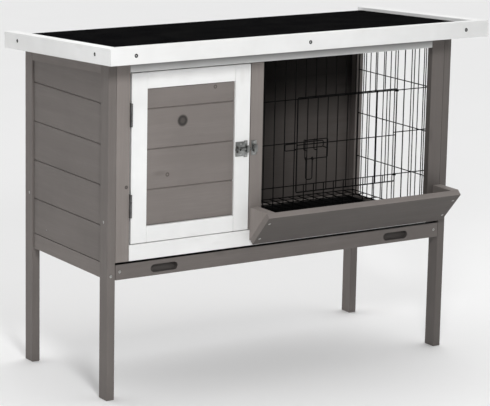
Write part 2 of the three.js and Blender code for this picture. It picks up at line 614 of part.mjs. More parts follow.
// ---------------------------------------------------------------- assembly
legs();
sideRails('left', -1);
sideRails('right', 1);
leftWall();
backWall();
frontFrame();
inside();
frontWirePanel();
sideWirePanel();
runFloor();
trough();
mainDoor();
doorHinges();
latch();
wireDoor();
wireBolt();
tray();
roofHinges(roof().deckBack);

// The legs are centred under themselves so far; centre the whole hutch from front to back
const bounds = new THREE.Box3().setFromObject(hutch, true);
hutch.position.y = -(bounds.min.y + bounds.max.y) / 2;
hutch.updateMatrixWorld(true);

export default hutch;
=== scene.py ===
"""Looks of the rabbit hutch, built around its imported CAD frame. Metres, +Z up, -Y is the front."""
import json
import math
import random

import bmesh
import bpy
from mathutils import Matrix, Vector


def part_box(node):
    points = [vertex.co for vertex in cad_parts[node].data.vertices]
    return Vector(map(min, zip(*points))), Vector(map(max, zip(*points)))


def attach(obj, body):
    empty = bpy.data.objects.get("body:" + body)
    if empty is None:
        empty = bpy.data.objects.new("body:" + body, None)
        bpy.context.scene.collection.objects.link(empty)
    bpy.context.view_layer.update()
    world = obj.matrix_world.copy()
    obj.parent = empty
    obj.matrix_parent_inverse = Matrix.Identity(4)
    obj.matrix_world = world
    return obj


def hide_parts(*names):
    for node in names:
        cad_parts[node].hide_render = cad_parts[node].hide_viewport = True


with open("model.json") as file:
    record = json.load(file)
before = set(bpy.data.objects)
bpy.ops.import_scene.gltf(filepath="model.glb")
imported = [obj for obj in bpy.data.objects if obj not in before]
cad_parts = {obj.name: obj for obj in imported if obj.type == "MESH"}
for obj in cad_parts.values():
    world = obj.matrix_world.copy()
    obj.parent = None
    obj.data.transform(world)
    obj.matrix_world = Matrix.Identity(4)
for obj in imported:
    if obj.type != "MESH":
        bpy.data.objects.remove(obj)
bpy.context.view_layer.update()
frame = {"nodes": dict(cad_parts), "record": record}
RECORD = frame["record"]
DRAW = random.Random(7)  # turns each screw head

X, Y, Z = 0, 1, 2
MM = 0.001
DEPTH_SHIFT = 28.265 * MM  # the row frame's Y of the middle between front and back legs
FRONT = -175 * MM + DEPTH_SHIFT  # front face of the timber frame
SLOPE = math.atan(25 / 443)  # of the roof, down to the back
BODY_OF = {node: body for body, nodes in RECORD["behaviour"]["bodies"].items() for node in nodes}
SLOT_OF = {part["node"]: part["material_slot"] for part in RECORD["subparts"]}


# ---------------------------------------------------------------- node trees
def new_material(name):
    material = bpy.data.materials.new(name)
    material.use_nodes = True
    tree = material.node_tree
    return material, tree, tree.nodes["Principled BSDF"]


def add(tree, kind, inputs=None, **settings):
    """A node with its settings made, and its inputs linked to sockets or set to values."""
    node = tree.nodes.new(kind)
    for key, value in settings.items():
        setattr(node, key, value)
    for key, value in (inputs or {}).items():
        if isinstance(value, bpy.types.NodeSocket):
            tree.links.new(value, node.inputs[key])
        else:
            node.inputs[key].default_value = value
    return node


def coordinates(tree, scale=(1, 1, 1)):
    source = add(tree, "ShaderNodeTexCoord")
    mapping = add(tree, "ShaderNodeMapping", {"Vector": source.outputs["Object"], "Scale": scale})
    return mapping.outputs["Vector"]


def stretched(tree, along, across, lengthwise):
    """Coordinates with one scale along an axis and another one across it."""
    scale = [across, across, across]
    scale[along] = lengthwise
    return coordinates(tree, scale)


def noise(tree, vector, scale, detail=4.0, roughness=0.55, distortion=0.0):
    node = add(tree, "ShaderNodeTexNoise", {
        "Vector": vector, "Scale": scale, "Detail": detail,
        "Roughness": roughness, "Distortion": distortion})
    return node.outputs["Fac"]


def ramp(tree, factor, low, high, dark=(0, 0, 0), bright=(1, 1, 1)):
    node = add(tree, "ShaderNodeValToRGB", {"Fac": factor})
    for element, place, colour in zip(node.color_ramp.elements, (low, high), (dark, bright)):
        element.position = place
        element.color = (*colour, 1)
    return node.outputs["Color"]


def mapped(tree, value, low, high, at_low=0.0, at_high=1.0):
    """A value's place between two levels, as a number between two others."""
    node = add(tree, "ShaderNodeMapRange", {
        "Value": value, "From Min": low, "From Max": high, "To Min": at_low, "To Max": at_high})
    return node.outputs["Result"]


def grey(level):
    return (level, level, level)


def rgba(value):
    """A colour gets its alpha; a socket stays as it is."""
    return (*value, 1) if isinstance(value, tuple) else value


def mixed(tree, factor, first, second, blend="MIX"):
    """Two colours in one. A Mix node takes colours at its sockets 6 and 7 and gives one at 2."""
    node = add(tree, "ShaderNodeMix", {0: factor, 6: rgba(first), 7: rgba(second)},
               data_type="RGBA", blend_type=blend)
    return node.outputs[2]


def bump(tree, shader, height, strength, distance):
    node = add(tree, "ShaderNodeBump", {"Height": height, "Strength": strength, "Distance": distance})
    tree.links.new(node.outputs["Normal"], shader.inputs["Normal"])


# ---------------------------------------------------------------- wood
GRAIN_STRETCH = 0.045  # scale along the grain, with 1 across it
FIBRES, BANDS, PATCHES = 420, 55, 9  # noise scales, from the finest to the widest
CHANCE_KNOTS = {"across": 26.0, "lengthwise": 9.0, "scale": 0.55, "strength": 0.35}

WOODS = {
    "grey_wood": dict(tone=(0.200, 0.179, 0.167), grain=(0.172, 0.152, 0.141),
                      knot=(0.105, 0.090, 0.082), roughness=0.78, relief=0.4),
    "white_wood": dict(tone=(0.845, 0.85, 0.845), grain=(0.825, 0.825, 0.815),
                       knot=(0.72, 0.71, 0.69), roughness=0.55, relief=0.15),
    "inside_wood": dict(tone=(0.052, 0.044, 0.040), grain=(0.038, 0.032, 0.029),
                        knot=(0.024, 0.020, 0.018), roughness=0.85, relief=0.4),
}
# Painted light and shade: nodes whose tone is darkened or lightened to stand for deeper shade or fuller
# light than the rest, given as the share of their slot's tone
PAINTED_LIGHT_AND_SHADE = {
    "tray_front": 0.75, "stile_right": 0.72, "leg_front_right": 0.65, "leg_front_left": 0.82,
    "stile_left": 1.2, "stile_centre": 1.2, "trough_cheek_left": 1.55, "trough_cheek_right": 1.35,
    "trough_board": 1.2, "header_rail": 0.95, "fascia_front": 0.92, "leg_back_left": 0.88,
    **{f"left_board_{i}": 0.86 for i in range(1, 6)},
}
# Knots: X, Z and radius in metres, and the rim's share of the knot tone
STILE_KNOTS = [(-0.379, 0.436, 0.0030, 0.4)]
DOOR_KNOTS = [(-0.248, 0.559, 0.0095, 0.28), (-0.172, 0.622, 0.0034, 0.75), (-0.282, 0.452, 0.0036, 0.75)]
# Painted shade: the back's inside is darker towards the nest room and under the roof, where the partition
# and the roof shade it
BACK_WALL_PAINTED_SHADE = [dict(axis=X, dark_at=0.13, full_at=0.24, least=0.3),
                   dict(axis=Z, dark_at=0.56, full_at=0.46, least=0.15)]
# Painted shadow of the roof's overhang on the top of the header
HEADER_PAINTED_SHADOW = [dict(axis=Z, dark_at=0.680, full_at=0.666, least=0.35)]
EXTRAS = {"stile_left": {"knots": STILE_KNOTS}, "header_rail": {"fades": HEADER_PAINTED_SHADOW}}
MADE_WOODS = {}


def fibre_colour(tree, vector, fibres, tone, grain):
    """Wide bands along the grain, with fine fibres over them."""
    bands = noise(tree, vector, BANDS, detail=3, distortion=0.6)
    colour = mixed(tree, ramp(tree, bands, 0.35, 0.7), tone, grain)
    return mixed(tree, ramp(tree, fibres, 0.42, 0.62), colour, mixed(tree, 0.5, grain, tone))


def with_chance_knots(tree, colour, along, knot):
    """Faint knots here and there, longer along the grain."""
    vector = stretched(tree, along, CHANCE_KNOTS["across"], CHANCE_KNOTS["lengthwise"])
    cells = add(tree, "ShaderNodeTexVoronoi", {"Vector": vector, "Scale": CHANCE_KNOTS["scale"]})
    spot = ramp(tree, cells.outputs["Distance"], 0.045, 0.11, grey(1), grey(0))
    faint = mixed(tree, 1.0, spot, grey(CHANCE_KNOTS["strength"]), "MULTIPLY")
    return mixed(tree, faint, colour, knot)


def knot_mask(tree, centre, inner, outer):
    """1 near a point of a board's face and 0 away from it, whatever the depth."""
    flat = coordinates(tree, (1, 0, 1))
    away = add(tree, "ShaderNodeVectorMath", {0: flat, 1: (centre[0], 0, centre[1])}, operation="DISTANCE")
    return mapped(tree, away.outputs["Value"], inner, outer, 1.0, 0.0)


def with_placed_knots(tree, colour, knots, knot):
    """Knots at given places, each with a dark rim round a lighter core."""
    for x, z, size, depth in knots:
        rim = knot_mask(tree, (x, z), size, 1.4 * size)
        colour = mixed(tree, rim, colour, tuple(depth * c for c in knot))
        core = knot_mask(tree, (x, z), 0.4 * size, 0.8 * size)
        colour = mixed(tree, core, colour, tuple(2.2 * depth * c for c in knot))
    return colour


def with_patches(tree, colour):
    """Slow changes of brightness over the whole piece."""
    patches = noise(tree, coordinates(tree), PATCHES, detail=3)
    return mixed(tree, 1.0, colour, ramp(tree, patches, 0.3, 0.75, grey(0.93), grey(1.05)), "MULTIPLY")


def darken_as_painted_shade(tree, colour, axis, dark_at, full_at, least):
    """Painted shade: darkens a colour towards one end of an axis, down to the given share of it."""
    place = add(tree, "ShaderNodeSeparateXYZ", {"Vector": coordinates(tree)}).outputs[axis]
    return mixed(tree, 1.0, colour, mapped(tree, place, dark_at, full_at, least), "MULTIPLY")


def timber(name, along, tone, grain, knot, roughness, relief, knots=(), fades=(), specular=0.5):
    """Painted or stained softwood whose grain runs along one axis, darkened by painted shade along any given
    gradients.
    """
    material, tree, shader = new_material(name)
    vector = stretched(tree, along, 1.0, GRAIN_STRETCH)
    fibres = noise(tree, vector, FIBRES, detail=5, roughness=0.65)
    colour = fibre_colour(tree, vector, fibres, tone, grain)
    colour = with_chance_knots(tree, colour, along, knot)
    colour = with_placed_knots(tree, colour, knots, knot)
    colour = with_patches(tree, colour)
    for shade_gradient in fades:
        colour = darken_as_painted_shade(tree, colour, **shade_gradient)
    tree.links.new(colour, shader.inputs["Base Color"])
    gloss = ramp(tree, fibres, 0.2, 0.8, grey(roughness - 0.06), grey(roughness + 0.06))
    tree.links.new(gloss, shader.inputs["Roughness"])
    shader.inputs["Specular IOR Level"].default_value = specular
    bump(tree, shader, fibres, relief, 0.6 * MM)
    return material


def wood(slot, along, share=1.0, **extras):
    """The timber of a slot with its grain along an axis, its tone scaled by a share; a share other than 1 is
    painted light or shade.
    """
    name = f"{slot}_{'xyz'[along]}_{round(100 * share)}" + "".join(f"_{extra}" for extra in extras)
    if name not in MADE_WOODS:
        look = {key: tuple(share * c for c in value) if isinstance(value, tuple) else value
                for key, value in WOODS[slot].items()}
        MADE_WOODS[name] = timber(name, along, **look, **extras)
    return MADE_WOODS[name]


# ---------------------------------------------------------------- felt and metals
def roofing_felt():
    """Black bitumen felt with mineral grains in it."""
    material, tree, shader = new_material("roofing_felt")
    grains = add(tree, "ShaderNodeTexVoronoi", {"Vector": coordinates(tree), "Scale": 700.0})
    patches = noise(tree, coordinates(tree), 14)
    colour = mixed(tree, ramp(tree, patches, 0.3, 0.7), (0.003, 0.003, 0.0035), grey(0.007))
    speck = ramp(tree, grains.outputs["Distance"], 0.2, 0.5, grey(0.010), grey(0))
    tree.links.new(mixed(tree, 1.0, colour, speck, "ADD"), shader.inputs["Base Color"])
    shader.inputs["Roughness"].default_value = 0.95
    shader.inputs["Specular IOR Level"].default_value = 0.0
    bump(tree, shader, grains.outputs["Distance"], 0.9, 1.2 * MM)
    return material


def coated_metal(name, tone, roughness, metallic, scale=700.0, specular=0.5):
    """Powder coat or zinc on steel: fine orange peel with softly varied gloss."""
    material, tree, shader = new_material(name)
    peel = noise(tree, coordinates(tree), scale, detail=2)
    smudge = noise(tree, coordinates(tree), 60, detail=5)
    worn = tuple(min(1.0, c * 1.6 + 0.004) for c in tone)
    tree.links.new(mixed(tree, ramp(tree, smudge, 0.4, 0.75), tone, worn), shader.inputs["Base Color"])
    gloss = ramp(tree, smudge, 0.3, 0.8, grey(roughness - 0.08), grey(roughness + 0.12))
    tree.links.new(gloss, shader.inputs["Roughness"])
    shader.inputs["Metallic"].default_value = metallic
    shader.inputs["Specular IOR Level"].default_value = specular
    bump(tree, shader, peel, 0.25, 0.3 * MM)
    return material


METALS = {
    "roofing_felt": roofing_felt(),
    "black_wire": coated_metal("black_wire", grey(0.002), 0.6, 0.0, specular=0.03),
    "black_iron": coated_metal("black_iron", grey(0.010), 0.6, 0.0, specular=0.2),
    "zinc": coated_metal("zinc", (0.21, 0.215, 0.21), 0.34, 1.0, scale=260.0),
    "black_tray": coated_metal("black_tray", grey(0.003), 0.7, 0.0, specular=0.1),
}
BRIGHT_ZINC = coated_metal("bright_zinc", (0.40, 0.40, 0.39), 0.35, 1.0)
HINGE_STEEL = coated_metal("hinge_steel", grey(0.10), 0.4, 0.6)


def finish_of(node):
    """The material of a CAD node: the grain of a wooden one runs along its longest side."""
    slot = SLOT_OF[node]
    if node.startswith("door_hinge"):
        return HINGE_STEEL
    if slot not in WOODS:
        return METALS[slot]
    low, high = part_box(node)
    sides = high - low
    longest = max((X, Y, Z), key=lambda axis: sides[axis])
    extras = {"knots": DOOR_KNOTS} if node.startswith("door_board") else EXTRAS.get(node, {})
    # a wooden node's tone takes the painted light or shade listed for it
    return wood(slot, longest, PAINTED_LIGHT_AND_SHADE.get(node, 1.0), **extras)


# ---------------------------------------------------------------- pieces
def in_scene(name, content):
    """An object in the scene that holds a mesh, a light or a camera."""
    thing = bpy.data.objects.new(name, content)
    bpy.context.scene.collection.objects.link(thing)
    return thing


def piece(name, mesh, material, body, slot, *nodes):
    """A visual piece that rides on a body and stands for some CAD nodes."""
    thing = in_scene(name, mesh)
    mesh.materials.clear()
    mesh.materials.append(material)
    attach(thing, body)
    if nodes:
        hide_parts(*nodes)
    return thing


def mesh_from(build):
    """A mesh made by a function that fills a bmesh."""
    shape = bmesh.new()
    build(shape)
    mesh = bpy.data.meshes.new("mesh")
    shape.to_mesh(mesh)
    shape.free()
    return mesh


def smooth(thing, sharpest):
    """Smooth shading, except across edges sharper than some degrees."""
    thing.data.shade_smooth()
    thing.data.set_sharp_from_angle(angle=math.radians(sharpest))


def applied(thing):
    """The object's mesh with its modifiers applied."""
    bpy.context.view_layer.update()
    graph = bpy.context.evaluated_depsgraph_get()
    mesh = bpy.data.meshes.new_from_object(thing.evaluated_get(graph))
    thing.modifiers.clear()
    return mesh


def softened(node, edge, holes=()):
    """The node's own shape with rounded edges, and with holes sunk in it for its screws."""
    thing = in_scene("work", frame["nodes"][node].data.copy())
    weld = thing.modifiers.new("weld", "WELD")
    weld.merge_threshold = 1e-5
    bevel = thing.modifiers.new("bevel", "BEVEL")
    bevel.width = edge
    bevel.segments = 2
    bevel.limit_method = "ANGLE"
    bevel.angle_limit = math.radians(40)
    cutters = [cutter(*hole) for hole in holes]
    for tool in cutters:
        sink = thing.modifiers.new("sink", "BOOLEAN")
        sink.object = tool
        sink.operation = "DIFFERENCE"
        sink.solver = "EXACT"
    mesh = applied(thing)
    for done in (thing, *cutters):
        bpy.data.objects.remove(done)
    wooden = SLOT_OF[node] in WOODS
    name = f"{node}_timber" if wooden else f"{node}_finished"
    shown = piece(name, mesh, finish_of(node), BODY_OF[node], SLOT_OF[node], node)
    if wooden:
        shown.data.shade_flat()
    else:
        smooth(shown, 32)
    return shown


# ---------------------------------------------------------------- screws
HEAD_BELOW = 0.2 * MM  # from the face down to a head's top
HOLE = {"clear": 0.35 * MM, "taper": 0.9, "length": 2.2 * MM, "sides": 28}  # half its length is in the wood
# A head's rings and recess are given as shares of its radius
HEAD_RINGS = [(0.72, 0.0), (0.92, -0.06), (1.0, -0.2), (0.86, -0.6)]  # radius and height
CROSS = {"long": 0.55, "thin": 0.16, "taper": 0.8, "floor": -0.5}
HEAD_SIDES = 24
SCREWS = []  # body, material slot, centre on the face, outward normal, radius


def facing(normal):
    return Vector(normal).to_track_quat("Z", "Y").to_matrix().to_4x4()


def cutter(at, normal, radius):
    """The tool that cuts one screw's hole."""
    def build(shape):
        wide = radius + HOLE["clear"]
        turn = Matrix.Translation(at) @ facing(normal)
        bmesh.ops.create_cone(shape, cap_ends=True, segments=HOLE["sides"], radius1=wide * HOLE["taper"],
                              radius2=wide, depth=HOLE["length"], matrix=turn)
    return in_scene("tool", mesh_from(build))


def around(loop):
    """Each member of a closed loop with the next one."""
    return list(zip(loop, loop[1:] + loop[:1]))


def head_ring(shape, turn, radius, wide, high):
    ring = []
    for i in range(HEAD_SIDES):
        angle = math.tau * i / HEAD_SIDES
        local = Vector((math.cos(angle), math.sin(angle), 0)) * wide * radius
        ring.append(shape.verts.new(turn @ (local + Vector((0, 0, high * radius)))))
    return ring


def cross_corners(radius):
    """The twelve corners of the recess, in the plane of the head's top."""
    long, thin = CROSS["long"], CROSS["thin"]
    corners = []
    for quarter in range(4):
        spin = Matrix.Rotation(quarter * math.pi / 2, 4, "Z")
        corners += [spin @ Vector((x, y, 0)) * radius for x, y in ((long, thin), (thin, thin), (thin, long))]
    return corners


def screw_head(shape, at, normal, radius, twist):
    """A countersunk head with a cross recess, its top at the given point."""
    turn = Matrix.Translation(at) @ facing(normal) @ Matrix.Rotation(twist, 4, "Z")
    rings = [head_ring(shape, turn, radius, wide, high) for wide, high in HEAD_RINGS]
    for upper, lower in zip(rings, rings[1:]):
        for (a, b), (c, d) in zip(around(upper), around(lower)):
            shape.faces.new((b, a, c, d))
    corners = cross_corners(radius)
    rim = [shape.verts.new(turn @ p) for p in corners]
    deep = Vector((0, 0, CROSS["floor"] * radius))
    foot = [shape.verts.new(turn @ (p * CROSS["taper"] + deep)) for p in corners]
    for (a, b), (c, d) in zip(around(rim), around(foot)):
        shape.faces.new((a, b, d, c))
    shape.faces.new(foot)
    inner = [shape.edges.get(pair) for pair in around(rim)]
    outer = [shape.edges.get(pair) for pair in around(rings[0])]
    bmesh.ops.triangle_fill(shape, edges=inner + outer, use_beauty=True)
    bmesh.ops.recalc_face_normals(shape, faces=shape.faces)


def screws_on(body, slot, normal, radius, *places):
    """Registers screws whose heads lie just under a face, and gives back the holes they need.

    Places and radius are in millimetres, with Y counted from the middle between the legs.
    """
    outward = Vector(normal).normalized()
    points = [Vector((x * MM, y * MM + DEPTH_SHIFT, z * MM)) for x, y, z in places]
    SCREWS.extend((body, slot, point, outward, radius * MM) for point in points)
    return [(point, outward, radius * MM) for point in points]


def frame_screws_on(normal, radius, *places):
    return screws_on("hutch_frame", "zinc", normal, radius, *places)


def make_screws():
    """One piece for all the screws of a body that share a finish."""
    groups = {}
    for body, slot, *head in SCREWS:
        groups.setdefault((body, slot), []).append(head)
    for (body, slot), heads in groups.items():
        def build(shape):
            for point, outward, radius in heads:
                top = point - outward * HEAD_BELOW
                screw_head(shape, top, outward, radius, DRAW.uniform(0, math.pi / 2))
        metal = BRIGHT_ZINC if slot == "zinc" else METALS[slot]
        smooth(piece(f"screws_{body}_{slot}", mesh_from(build), metal, body, slot), 40)


# ---------------------------------------------------------------- timber
# FASCIA and TROUGH are in millimetres, with Y counted from the middle between the legs
TO_FRONT = (0, -1, 0)
FASCIA = {"normal": (0, -math.cos(SLOPE), math.sin(SLOPE)), "front": -249.35, "middle": 711.5,
          "side": 460, "side_middle": 699, "radius": 4.0}
TROUGH = {"normal": (0, -67.6, -61.5), "foot": (-187.5, 288.4), "lean": (61.5, 67.6)}
PULL = {"x": 289 * MM, "z": 263 * MM, "reach": 33 * MM, "half": 9.5 * MM}
SOFT_EDGE = 1.1 * MM
SOFT_SHARE = 0.08  # the most of a piece's thinnest side that a rounded edge takes


def slope_height(y, at_front):
    """Height of a line that runs down to the back with the roof, from the given height at y = 0."""
    return at_front - math.tan(SLOPE) * y


def fascia_screws():
    front = [(x, FASCIA["front"], FASCIA["middle"]) for x in (-402, 4, 401)]
    holes = {"fascia_front": screws_on("roof", "black_iron", FASCIA["normal"], FASCIA["radius"], *front)}
    for side, sign in (("left", -1), ("right", 1)):
        places = [(sign * FASCIA["side"], y, slope_height(y, FASCIA["side_middle"])) for y in (-188, 136)]
        holes[f"fascia_{side}"] = screws_on("roof", "black_iron", (sign, 0, 0), FASCIA["radius"], *places)
    return holes


def leg_screws():
    holes = {}
    for side, sign in (("left", -1), ("right", 1)):
        outward = (sign, 0, 0)
        holes[f"leg_front_{side}"] = frame_screws_on(outward, 3.0, (sign * 421, -157.5, 366))
        holes[f"leg_back_{side}"] = frame_screws_on(outward, 3.0, (sign * 421, 157.5, 366))
    holes["leg_front_left"] += frame_screws_on(TO_FRONT, 3.2, (-412, -175, 257.5))
    return holes


def trough_screws():
    """Two screws at each end of the leaning board, low and high on its face."""
    (y, z), (out, up) = TROUGH["foot"], TROUGH["lean"]
    places = [(x, y - out * t, z + up * t) for x in (-76, 395) for t in (0.2, 0.77)]
    return frame_screws_on(TROUGH["normal"], 3.0, *places)


def wood_screws():
    """The holes of all the screws in wood, by the node that they are sunk in."""
    holes = {**fascia_screws(), **leg_screws()}
    holes["tray_front"] = screws_on("tray", "zinc", TO_FRONT, 3.2, (-392, -175, 265), (392, -175, 265))
    holes["left_board_1"] = frame_screws_on((-1, 0, 0), 1.6, (-417, 89.5, 298))
    holes["trough_board"] = trough_screws()
    back = [(x, 173, z) for x in (-390, -91, 390) for z in (315, 480, 640)]
    holes["back_wall"] = frame_screws_on((0, 1, 0), 3.0, *back)
    return holes


# Painted shade: the back wall's inside face gets a darker copy of the grey wood, with the gradients above
def back_wall_painted_shade():
    inside = wood("grey_wood", X, 0.62, fades=BACK_WALL_PAINTED_SHADE, specular=0.1)
    return [(inside, lambda face: face.normal.y < -0.7)]


# Painted shade: the trough board's outer face, which leans down and out, gets a darker copy of the grey wood
def trough_front_painted_shade():
    outward = Vector(TROUGH["normal"]).normalized()
    return [(wood("grey_wood", X, 0.52), lambda face: face.normal.dot(outward) > 0.9)]


def tray_painted_shade():
    """Painted shade in the finger pulls, and painted shadow in the black of the tray pan on the upper edge,
    in the gap under the rail.
    """
    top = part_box("tray_front")[1].z - 0.2 * MM
    deep = FRONT + 0.5 * MM

    def in_pull(face):
        x, y, z = face.center
        return y > deep and abs(abs(x) - PULL["x"]) < PULL["reach"] and abs(z - PULL["z"]) < PULL["half"]
    return [(wood("grey_wood", X, 0.4), in_pull), (METALS["black_tray"], lambda face: face.center.z > top)]


# Nodes whose chosen faces get darker materials as painted shade
FACE_PAINTED_SHADE = {"back_wall": back_wall_painted_shade, "trough_board": trough_front_painted_shade, "tray_front": tray_painted_shade}


def paint_faces(shown, material, chosen):
    """Gives another material to the faces that pass a test."""
    shown.data.materials.append(material)
    last = len(shown.data.materials) - 1
    for face in shown.data.polygons:
        if chosen(face):
            face.material_index = last


def all_timber():
    holes = wood_screws()
    for node, slot in SLOT_OF.items():
        if slot in WOODS:
            low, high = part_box(node)
            edge = min(SOFT_EDGE, SOFT_SHARE * min(high - low))
            shown = softened(node, edge, holes.get(node, ()))
            if node in FACE_PAINTED_SHADE:
                for material, chosen in FACE_PAINTED_SHADE[node]():
                    paint_faces(shown, material, chosen)


# ---------------------------------------------------------------- wires
WIRE_RADIUS = 1.05 * MM
WIRE_PITCH = 25.4
NEAR, FAR, SLIGHT = 0.3 * MM, 0.2 * MM, 0.1 * MM  # how far a layer of wires lies off its panel's middle
DOOR_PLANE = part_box("wire_door")[0].y + WIRE_RADIUS
DOORWAY = {"left": 4, "right": 14, "bottom": 1, "middle": 2, "top": 3}  # columns and rows of the front panel
COIL = {"radius": 3.2 * MM, "wire": 0.9 * MM, "turns": 2, "steps": 36, "height": 3.6 * MM, "drop": 1.6 * MM}
MIDDLE_ROW = 481.4 * MM  # of the wire door
STAPLE = {"bottom": 467 * MM, "top": 488.5 * MM}  # guides of the bolt
SIDE_ROWS = (371 * MM, 470 * MM, 569 * MM)
BOLT_ROWS = (471 * MM, 484.5 * MM)
GRIP = {"left": 52 * MM, "bottom": 451.5 * MM, "top": 491.5 * MM}
HANDLE = {"legs": (55 * MM, 71 * MM), "eye": 2.9 * MM, "below": 3.2 * MM}


def tube_ring(shape, point, tangent, radius, sides):
    flat = Vector((0, 0, 1)) if abs(tangent.z) < 0.9 else Vector((0, 1, 0))
    side = tangent.cross(flat).normalized()
    up = side.cross(tangent)
    ring = []
    for k in range(sides):
        angle = math.tau * k / sides
        ring.append(shape.verts.new(point + radius * (math.cos(angle) * side + math.sin(angle) * up)))
    return ring


def wire(shape, path, radius=WIRE_RADIUS, sides=10, closed=False):
    """A round wire along a path of points, with flat ends, or closed into a ring."""
    points = [Vector(p) for p in path]
    count = len(points)
    rings = []
    for i, point in enumerate(points):
        before = points[i - 1] if i or closed else point
        after = points[(i + 1) % count] if i < count - 1 or closed else point
        rings.append(tube_ring(shape, point, (after - before).normalized(), radius, sides))
    for first, second in around(rings) if closed else zip(rings, rings[1:]):
        for (a, b), (c, d) in zip(around(first), around(second)):
            shape.faces.new((a, b, d, c))
    if not closed:
        shape.faces.new(rings[0][::-1])
        shape.faces.new(rings[-1])


def bent(corners, bend, closed=False, steps=5):
    """The path through some corners, each rounded over the given length."""
    points = [Vector(c) for c in corners]
    count = len(points)
    path = []
    for i, point in enumerate(points):
        if not closed and i in (0, count - 1):
            path.append(point)
            continue
        start = (points[i - 1] - point).normalized() * bend
        end = (points[(i + 1) % count] - point).normalized() * bend
        for k in range(steps + 1):
            t = k / steps
            path.append(point + start * (1 - t) ** 2 + end * t ** 2)
    return path


def coil(x, y, z):
    """Turns of thin wire round an upright rod."""
    path = []
    for k in range(COIL["steps"] + 1):
        share = k / COIL["steps"]
        angle = math.pi / 2 + math.tau * COIL["turns"] * share
        height = z + COIL["height"] * share - COIL["drop"]
        path.append((x + COIL["radius"] * math.cos(angle), y + COIL["radius"] * math.sin(angle), height))
    return path


def eye(x, y, z, count=16):
    """A small ring that stands across the X axis."""
    turns = [math.tau * k / count for k in range(count)]
    return [(x, y + HANDLE["eye"] * math.cos(a), z + HANDLE["eye"] * math.sin(a)) for a in turns]


def hairpin(open_x, bend_x, y, bend):
    """Two level wires joined at one end, at the bolt's two heights."""
    lower, upper = BOLT_ROWS
    return bent([(open_x, y, lower), (bend_x, y, lower), (bend_x, y, upper), (open_x, y, upper)], bend)


def inset(low, high, count):
    """Middles of wires spaced evenly between two edges, the outer ones just inside them."""
    first, last = low + WIRE_RADIUS, high - WIRE_RADIUS
    return [first + (last - first) * i / (count - 1) for i in range(count)]


def wire_piece(node, build):
    made = piece(f"{node}_wires", mesh_from(build), METALS["black_wire"], BODY_OF[node],
                 "black_wire", node)
    smooth(made, 50)


def front_panel_wires():
    """Upright wires in front, level wires welded behind them, both stopping at the doorway."""
    low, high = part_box("front_wire_panel")
    y = high.y - WIRE_RADIUS
    columns = inset(low.x, high.x, 19)
    rows = inset(low.z, high.z, 5)
    left, right = DOORWAY["left"], DOORWAY["right"]
    bottom, top = rows[DOORWAY["bottom"]], rows[DOORWAY["top"]]
    hinge_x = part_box("wire_door")[1].x - WIRE_RADIUS

    def build(shape):
        for i, x in enumerate(columns):
            spans = [(low.z, bottom), (top, high.z)] if left < i < right else [(low.z, high.z)]
            for start, end in spans:
                wire(shape, [(x, y - NEAR, start), (x, y - NEAR, end)])
        for j, z in enumerate(rows):
            beside = [(low.x, columns[left]), (columns[right], high.x)]
            for start, end in beside if j == DOORWAY["middle"] else [(low.x, high.x)]:
                wire(shape, [(start, y + FAR, z), (end, y + FAR, z)])
        for z in (bottom, top):
            wire(shape, coil(hinge_x, DOOR_PLANE, z), radius=COIL["wire"], sides=8)
    wire_piece("front_wire_panel", build)


def wire_door_wires():
    """A thicker rim, the uprights, one level wire, and two staples that guide the bolt."""
    low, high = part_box("wire_door")
    columns = inset(low.x, high.x, 11)
    left, right = columns[0], columns[-1]
    bottom, top = low.z + WIRE_RADIUS, high.z - WIRE_RADIUS
    back = high.y - WIRE_RADIUS

    def build(shape):
        rim = [(left, DOOR_PLANE, bottom), (right, DOOR_PLANE, bottom),
               (right, DOOR_PLANE, top), (left, DOOR_PLANE, top)]
        wire(shape, bent(rim, 3 * MM, closed=True), radius=1.3 * WIRE_RADIUS, closed=True)
        for x in columns[1:-1]:
            wire(shape, [(x, DOOR_PLANE + FAR, bottom), (x, DOOR_PLANE + FAR, top)])
        wire(shape, [(left, DOOR_PLANE - NEAR, MIDDLE_ROW), (right, DOOR_PLANE - NEAR, MIDDLE_ROW)])
        for x in columns[1:3]:
            staple = [(x, DOOR_PLANE, STAPLE["bottom"]), (x, back, STAPLE["bottom"]),
                      (x, back, STAPLE["top"]), (x, DOOR_PLANE, STAPLE["top"])]
            wire(shape, bent(staple, 2 * MM))
    wire_piece("wire_door", build)


def side_panel_wires():
    """The right end of the run, whose top wire runs down with the roof."""
    low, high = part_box("side_wire_panel")
    x = (low.x + high.x) / 2
    inner = [DEPTH_SHIFT + (WIRE_PITCH * k - 1.6) * MM for k in range(-5, 6)]
    columns = [low.y + WIRE_RADIUS, *inner, high.y - WIRE_RADIUS]
    top = [slope_height(y - low.y, high.z) for y in columns]

    def build(shape):
        for y, z in zip(columns, top):
            wire(shape, [(x + SLIGHT, y, low.z), (x + SLIGHT, y, z - 0.5 * MM)])
        for z in (low.z + WIRE_RADIUS, *SIDE_ROWS):
            wire(shape, [(x - SLIGHT, low.y, z), (x - SLIGHT, high.y, z)])
        wire(shape, [(x - SLIGHT, y, z - 2 * WIRE_RADIUS) for y, z in zip(columns, top)])
    wire_piece("side_wire_panel", build)


def floor_wires():
    low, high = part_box("run_floor_mesh")
    z = (low.z + high.z) / 2

    def build(shape):
        for x in inset(low.x, high.x, 20):
            wire(shape, [(x, low.y, z), (x, high.y, z)])
        for y in inset(low.y, high.y, 7):
            wire(shape, [(low.x, y, z - SLIGHT), (high.x, y, z - SLIGHT)])
    wire_piece("run_floor_mesh", build)


